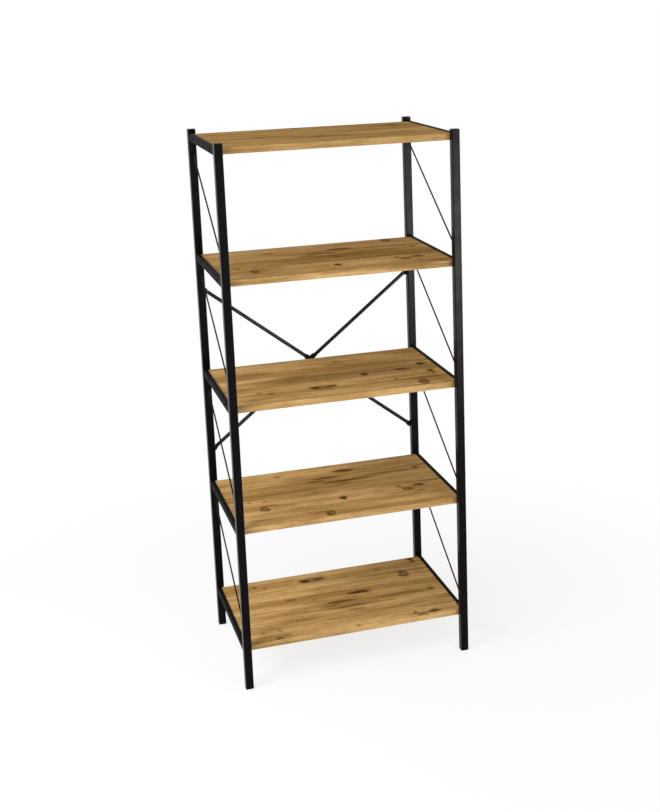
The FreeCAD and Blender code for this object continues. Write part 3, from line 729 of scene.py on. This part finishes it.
screw_low, screw_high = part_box("brace_end_screws")
bolt_low, bolt_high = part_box("brace_centre_bolt")
screw_head = (bolt_high.x - bolt_low.x) / 2
hole_x = screw_high.x - screw_head
hole_rise = (screw_high.z - screw_low.z) / 2 - screw_head
cross_z = (screw_high.z + screw_low.z) / 2
rod_half = math.hypot(hole_x, hole_rise) + OVERHANG
for node, lean, lap in (("brace_rod_inner", -1, -1), ("brace_rod_outer", 1, 1)):
    low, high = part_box(node)
    radius = (high.y - low.y) / 2
    axis_y = (high.y + low.y) / 2
    along = Vector((hole_x, 0.0, lean * hole_rise)).normalized()
    across = Vector((-along.z, 0.0, along.x))
    flat_start, flat_end = CENTRE_FLAT / 2, rod_half - END_FLAT
    round_start, round_end = flat_start + PRESS_RUN, flat_end - PRESS_RUN
    tip_start = rod_half - END_ROUND
    spots = between(0.0, flat_start, FLAT_STEPS) + between(flat_start, round_start, PRESS_STEPS)
    spots += between(round_start, round_end, RUN_STEPS) + between(round_end, flat_end, PRESS_STEPS)
    spots += between(flat_end, tip_start, FLAT_STEPS)
    spots += [tip_start + END_ROUND * math.sin(turn) for turn in between(0.0, math.radians(90), ROUND_STEPS)]
    spots = [-spot for spot in reversed(spots)] + [0.0] + spots
    rings = []
    for spot in spots:
        centre_press = 1 - ease((abs(spot) - flat_start) / PRESS_RUN)
        end_press = ease((abs(spot) - round_end) / PRESS_RUN)
        press = max(centre_press, end_press)
        side = lap if centre_press > end_press else -1
        half_width = radius + (FLAT_WIDTH / 2 - radius) * press
        half_thick = radius - radius / 2 * press
        y = axis_y + side * radius / 2 * press
        inset = max(0.0, abs(spot) - tip_start)
        half_width -= END_ROUND - math.sqrt(max(END_ROUND ** 2 - inset ** 2, 0.0))
        power = 2 / (2 + FLAT_SQUARENESS * press)
        ring = []
        for i in range(BRACE_SIDES):
            angle = math.radians(360) * i / BRACE_SIDES
            wide = math.copysign(abs(math.cos(angle)) ** power, math.cos(angle)) * half_width
            thick = math.copysign(abs(math.sin(angle)) ** power, math.sin(angle)) * half_thick
            ring.append(Vector((0.0, y + thick, cross_z)) + along * spot + across * wide)
        rings.append(ring)
    add_piece(ring_mesh(f"pressed_{node}", rings), brace_coat, "frame_steel", node, crease=BRACE_CREASE)


# Brace fixings: a button-head socket screw at each rod end, turned into the rear post, and one longer
# button-head bolt through the crossing with a hexagon nut in front. All are blackened steel.
SOCKET_WIDTH = 0.003
SOCKET_DEPTH = 0.0015
FIXING_SHANK = 0.0025
SHANK_POINT = 0.0006
NUT_CHAMFER = 0.0006
BORE_FLARE = 1.2
FACING_REAR = (math.radians(90), 0.0, 0.0)


def hexagon(width):
    """The outline of a hexagon of that width across its flats, as a radius for each angle."""
    return lambda angle: width / 2 / math.cos((angle % math.radians(60)) - math.radians(30))


def facing_rear(mesh, x, y, z):
    """Turns a screw shaped along Z so that its head faces the rear, and sets its seat at a place."""
    mesh.transform(Matrix.Translation((x, y, z)) @ Matrix.Rotation(math.radians(90), 4, "X"))
    return mesh


rod_low, rod_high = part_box("brace_rod_inner")
lug_face = (rod_low.y + rod_high.y) / 2
end_screw = screw_mesh("set_brace_end_screws", screw_head, screw_high.y - lug_face, FIXING_SHANK,
                       lug_face - screw_low.y, SHANK_POINT, hexagon(SOCKET_WIDTH), SOCKET_DEPTH)
mesh = grow(end_screw, grid_tree, {
    "Pitch Along": 2 * hole_x, "Pitch Across": 2 * hole_rise, "Turn": FACING_REAR,
    "Centre": (0.0, lug_face, cross_z), "Material": screw_coat})
add_piece(mesh, screw_coat, "screw_steel", "brace_end_screws")
bolt = screw_mesh("set_brace_centre_bolt", screw_head, bolt_high.y - rod_high.y, FIXING_SHANK,
                  rod_high.y - bolt_low.y, SHANK_POINT, hexagon(SOCKET_WIDTH), SOCKET_DEPTH)
add_piece(facing_rear(bolt, 0.0, rod_high.y, cross_z), screw_coat, "screw_steel", "brace_centre_bolt")

nut_low, nut_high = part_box("brace_centre_nut")
nut_width = nut_high.z - nut_low.z
nut_height = nut_high.y - nut_low.y
nut_outline = hexagon(nut_width)


def nut_ring(limit, height):
    """A ring of the nut: its hexagon, turned down to a limit where a chamfer cuts the corners."""
    return turned_ring(lambda angle: min(nut_outline(angle), limit), height)


corner_radius = nut_width / math.sqrt(3)
nut = ring_mesh("hexagon_nut", [
    nut_ring(nut_width / 2, 0.0), nut_ring(corner_radius, NUT_CHAMFER),
    nut_ring(corner_radius, nut_height - NUT_CHAMFER), nut_ring(nut_width / 2, nut_height),
    nut_ring(FIXING_SHANK * BORE_FLARE, nut_height), nut_ring(FIXING_SHANK, nut_height - NUT_CHAMFER)])
add_piece(facing_rear(nut, 0.0, nut_high.y, cross_z), screw_coat, "screw_steel", "brace_centre_nut")


# Studio: a pale floor that keeps the unit's shadow and a white surround for camera and reflections.
# A tall soft panel lamp stands at the front right, a broad one at the left side and a weak one overhead.
FLOOR_SIZE = 60.0
FLOOR_WHITE = (0.92, 0.92, 0.92, 1.0)
FLOOR_SPECKLE = (0.88, 0.88, 0.88, 1.0)
SPECKLE_SCALE = 3.0
SPECKLE_SHARE = 0.03
FLOOR_ROUGHNESS = 0.9
FULL_WHITE = (1.0, 1.0, 1.0, 1.0)
FLOOR_GLOW = 0.80
SHADOW_REACH = (0.35, 1.5)
SURROUND_LIGHT = 0.5


def seen_white(tree):
    """1 for rays that look at or mirror the surround, 0 for rays that only carry its light."""
    rays = add_node(tree, "ShaderNodeLightPath").outputs
    mirrored = calc(tree, "MAXIMUM", rays["Is Glossy Ray"], rays["Is Transmission Ray"])
    return calc(tree, "MAXIMUM", rays["Is Camera Ray"], mirrored)


world = bpy.data.worlds.new("white_surround")
world.use_nodes = True
tree = world.node_tree
background = tree.nodes["Background"]
background.inputs["Color"].default_value = FULL_WHITE
strength = add_node(tree, "ShaderNodeMapRange",
                    {"Value": seen_white(tree), "To Min": SURROUND_LIGHT, "To Max": 1.0})
tree.links.new(strength.outputs[0], background.inputs["Strength"])
bpy.context.scene.world = world

floor_paint, tree, shader, place = start_material("pale_floor")
speckle = add_node(tree, "ShaderNodeTexNoise",
                   {"Vector": place, "Scale": SPECKLE_SCALE, "Detail": 3.0}).outputs["Fac"]
shade = mix_colours(tree, calc(tree, "MULTIPLY", speckle, SPECKLE_SHARE), FLOOR_WHITE, FLOOR_SPECKLE)
tree.links.new(shade, shader.inputs["Base Color"])
shader.inputs["Roughness"].default_value = FLOOR_ROUGHNESS
shader.inputs["Specular IOR Level"].default_value = 0.0
glow = add_node(tree, "ShaderNodeEmission", {"Color": FULL_WHITE, "Strength": 1.0}).outputs[0]
away = add_node(tree, "ShaderNodeVectorMath", {0: place}, operation="LENGTH").outputs["Value"]
glow_share = fade_range(tree, away, *SHADOW_REACH, FLOOR_GLOW, 1.0)
share = calc(tree, "MULTIPLY", seen_white(tree), glow_share)
lit = add_node(tree, "ShaderNodeMixShader", {0: share, 1: shader.outputs[0], 2: glow}).outputs[0]
tree.links.new(lit, tree.nodes["Material Output"].inputs["Surface"])
half = FLOOR_SIZE / 2
mesh = bpy.data.meshes.new("floor")
corners = [(-half, -half, 0), (half, -half, 0), (half, half, 0), (-half, half, 0)]
mesh.from_pydata(corners, [], [(0, 1, 2, 3)])
mesh.materials.append(floor_paint)
floor = bpy.data.objects.new("floor", mesh)
bpy.context.scene.collection.objects.link(floor)


def add_lamp(name, place, target, width, height, watts):
    """A soft panel lamp that faces a target."""
    light = bpy.data.lights.new(name, "AREA")
    light.shape = "RECTANGLE"
    light.size, light.size_y = width, height
    light.energy = watts
    lamp = bpy.data.objects.new(name, light)
    way = Vector(target) - Vector(place)
    lamp.matrix_world = Matrix.Translation(place) @ way.to_track_quat("-Z", "Y").to_matrix().to_4x4()
    bpy.context.scene.collection.objects.link(lamp)


add_lamp("main_lamp", place=(1.42, -3.3, 0.5), target=(0.3, 0.0, 0.5), width=0.55, height=1.0, watts=48.0)
add_lamp("fill_lamp", place=(-1.9, -0.9, 1.45), target=(0.0, 0.0, 0.6), width=1.4, height=1.4, watts=52.0)
add_lamp("top_lamp", place=(0.0, -0.6, 3.6), target=(0.0, 0.0, 0.0), width=2.0, height=2.0, watts=8.0)


# Camera: the photograph's view from the front left, a little above the top shelf, framed off-centre.
IMAGE_WIDTH, IMAGE_HEIGHT = 660, 812
CAMERA_PLACE = Vector((-0.8155, -3.2350, 1.7049))
CAMERA_YAW = math.radians(17.208)
CAMERA_PITCH = math.radians(13.384)
CAMERA_ROLL = math.radians(-1.668)
FOCAL_PIXELS = 1327.6
SHIFT_RIGHT, SHIFT_DOWN = 0.08, 0.12

forward = Vector((math.sin(CAMERA_YAW) * math.cos(CAMERA_PITCH),
                  math.cos(CAMERA_YAW) * math.cos(CAMERA_PITCH), -math.sin(CAMERA_PITCH)))
level = Vector((math.cos(CAMERA_YAW), -math.sin(CAMERA_YAW), 0.0))
upright = level.cross(forward)
right = level * math.cos(CAMERA_ROLL) + upright * math.sin(CAMERA_ROLL)
up = upright * math.cos(CAMERA_ROLL) - level * math.sin(CAMERA_ROLL)
lens = bpy.data.cameras.new("camera")
lens.lens = FOCAL_PIXELS * lens.sensor_width / max(IMAGE_WIDTH, IMAGE_HEIGHT)
lens.shift_x = -SHIFT_RIGHT
lens.shift_y = -SHIFT_DOWN
camera = bpy.data.objects.new("camera", lens)
turn = Matrix((right, up, -forward)).transposed().to_4x4()
camera.matrix_world = Matrix.Translation(CAMERA_PLACE) @ turn
bpy.context.scene.collection.objects.link(camera)
bpy.context.scene.camera = camera
bpy.context.scene.view_settings.view_transform = "Standard"
